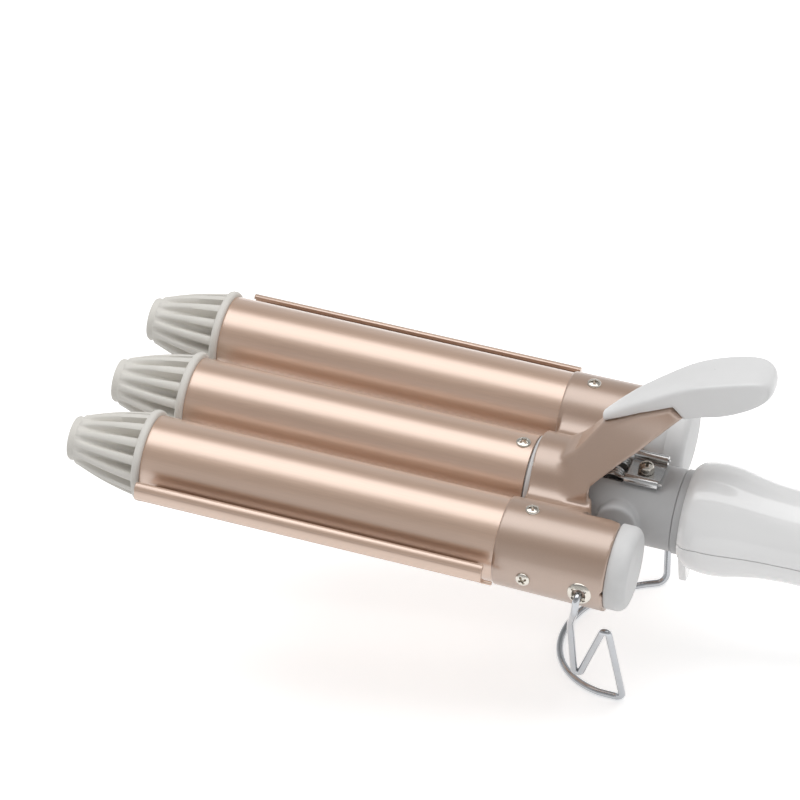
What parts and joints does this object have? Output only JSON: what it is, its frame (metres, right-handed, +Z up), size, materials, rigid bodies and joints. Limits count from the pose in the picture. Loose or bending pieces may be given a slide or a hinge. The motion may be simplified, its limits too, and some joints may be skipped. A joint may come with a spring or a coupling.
{
  "type": "hair waver",
  "caption": "Hair waver with three barrels in one plane; a thumb lever lifts the outer pair off the middle one; wire table stand, basket tips and a round handle.",
  "frame": {"origin": "centre of the overall bounding box in plan, on the surface that the tool rests on", "axes": "+X from the basket tips to the handle, +Y to the far barrel, +Z up; the tool's own axis slopes down to the handle by the resting pitch"},
  "size_m": [0.3852, 0.105, 0.1009],
  "materials": {
    "rose_gold": "rose gold anodised, fine lengthwise satin",
    "bronze": "die-cast, with a slightly matt bronze metallic paint",
    "tip_grey": "warm light grey heat-resistant plastic",
    "heater_aluminium": "mill finish",
    "white_gloss": "glossy white",
    "neck_grey": "satin mid grey",
    "chrome_wire": "polished chrome",
    "steel": "nickel plated",
    "dark_gloss": "glossy dark grey",
    "board_green": "green laminate",
    "brass_rings": "turned",
    "amber_lens": "clear amber"
  },
  "bodies": {
    "handle": {"middle_barrel": "rose_gold", "middle_tip": "tip_grey", "middle_heater": "heater_aluminium", "middle_carrier": "white_gloss", "middle_screw": "steel", "neck_housing": "neck_grey", "neck_collar": "neck_grey", "pivot_pin": "steel", "spring_plate": "steel", "spring_plate_screw": "steel", "torsion_spring": "steel", "handle_upper_shell": "white_gloss", "handle_lower_shell": "white_gloss", "handle_screw_1": "steel", "handle_screw_2": "steel", "control_board": "board_green", "supply_transformer": "steel", "control_fascia": "dark_gloss", "display_window": "dark_gloss", "indicator_lamp": "amber_lens"},
    "lever": {"near_barrel": "rose_gold", "near_rail": "rose_gold", "near_tip": "tip_grey", "near_heater": "heater_aluminium", "near_end_cap": "white_gloss", "near_eyelet_nut": "steel", "near_sleeve_screw": "steel", "near_side_screw": "steel", "far_barrel": "rose_gold", "far_rail": "rose_gold", "far_tip": "tip_grey", "far_heater": "heater_aluminium", "far_end_cap": "white_gloss", "far_eyelet_nut": "steel", "far_sleeve_screw": "steel", "far_side_screw": "steel", "bridge": "bronze", "thumb_pad": "white_gloss"},
    "stand": {"wire_stand": "chrome_wire"},
    "power_button": {"power_button": "white_gloss"},
    "temp_up_button": {"temp_up_button": "white_gloss"},
    "temp_down_button": {"temp_down_button": "white_gloss"},
    "gland": {"swivel_gland": "white_gloss", "slip_ring_drum": "brass_rings"}
  },
  "joints": [
    {"name": "lever_hinge", "type": "hinge", "parent": "handle", "child": "lever", "pos_m": [-0.03362, 0, 0.05381], "axis": [0, 1, 0], "range_deg": [0, 25], "stiffness_Nm_per_rad": 1, "springref_deg": -20.05},
    {"name": "stand_hinge", "type": "hinge", "parent": "lever", "child": "stand", "pos_m": [-0.03558, 0, 0.05319], "axis": [0, 1, 0], "range_deg": [-70, 35], "stiffness_Nm_per_rad": 0.3},
    {"name": "power_button_press", "type": "slide", "parent": "handle", "child": "power_button", "axis": [-0.1988, 0, -0.98], "range_m": [0, 0.0009], "stiffness_N_per_m": 900, "springref_m": -0.0011},
    {"name": "temp_up_button_press", "type": "slide", "parent": "handle", "child": "temp_up_button", "axis": [-0.1988, 0, -0.98], "range_m": [0, 0.0009], "stiffness_N_per_m": 900, "springref_m": -0.0011},
    {"name": "temp_down_button_press", "type": "slide", "parent": "handle", "child": "temp_down_button", "axis": [-0.1988, 0, -0.98], "range_m": [0, 0.0009], "stiffness_N_per_m": 900, "springref_m": -0.0011},
    {"name": "gland_swivel", "type": "hinge", "parent": "handle", "child": "gland", "pos_m": [0.18007, 0, 0.00966], "axis": [0.98, 0, -0.1988], "continuous": true}
  ]
}
